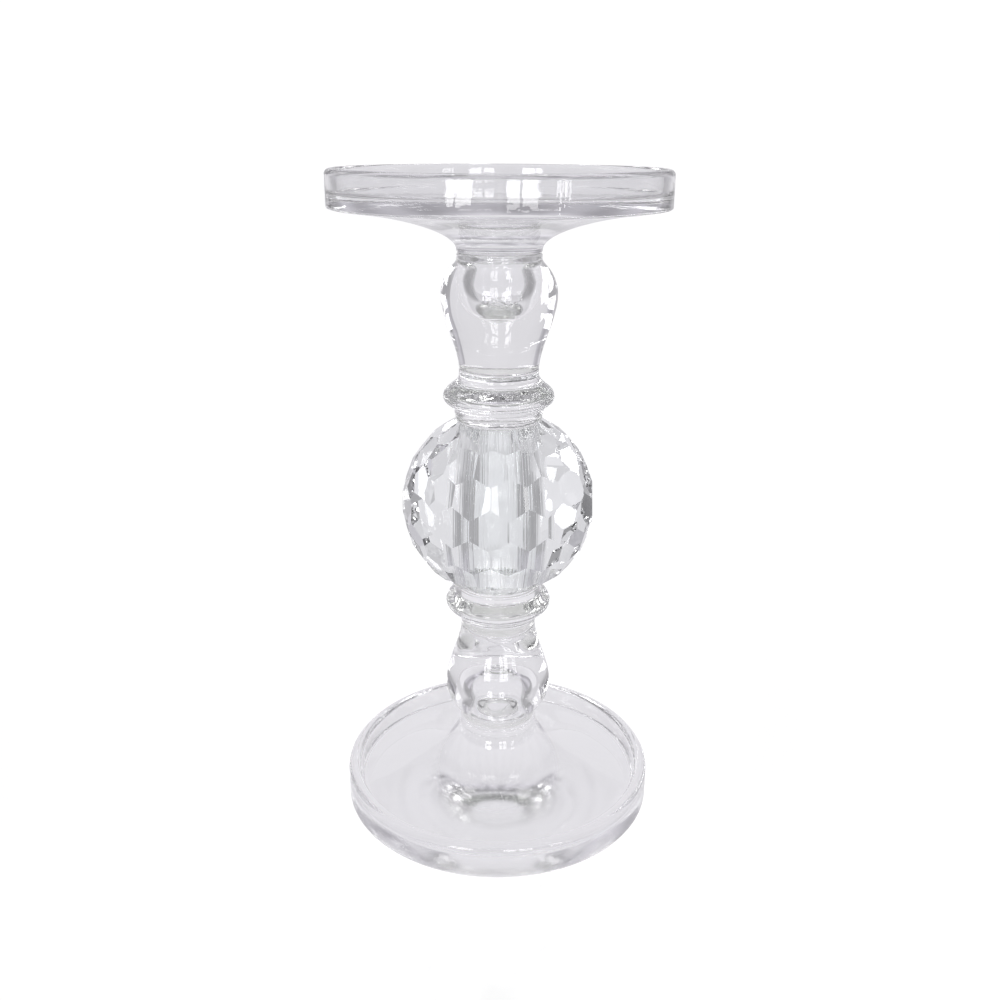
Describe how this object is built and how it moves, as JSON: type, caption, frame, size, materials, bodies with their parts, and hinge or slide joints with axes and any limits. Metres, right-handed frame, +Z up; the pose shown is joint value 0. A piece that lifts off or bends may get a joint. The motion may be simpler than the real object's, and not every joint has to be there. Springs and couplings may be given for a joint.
{
  "type": "candlestick",
  "caption": "Clear glass pillar candlestick: a shallow candle dish on a stem of hollow vases, ridged collars and a facet-cut crystal ball, above a broad rimmed foot.",
  "frame": {"origin": "centre of the foot's flat base, on the surface that the candlestick stands on", "axes": "+Z up along the stem axis; -Y faces the viewer; +X to the viewer's right"},
  "size_m": [0.125, 0.125, 0.2482],
  "materials": {
    "glass": "clear, fire-polished, slightly wavy pressed glass",
    "crystal": "clear crystal, cut and polished in flat facets",
    "adhesive": "clear, smooth, cured ultraviolet adhesive"
  },
  "bodies": {
    "root": {"foot_plate": "glass", "lower_vase": "glass", "lower_collar": "glass", "faceted_ball": "crystal", "upper_collar": "glass", "upper_vase": "glass", "candle_dish": "glass", "foot_bond": "adhesive", "lower_stem_bond": "adhesive", "lower_ball_bond": "adhesive", "upper_ball_bond": "adhesive", "upper_stem_bond": "adhesive", "dish_bond": "adhesive"}
  },
  "joints": []
}
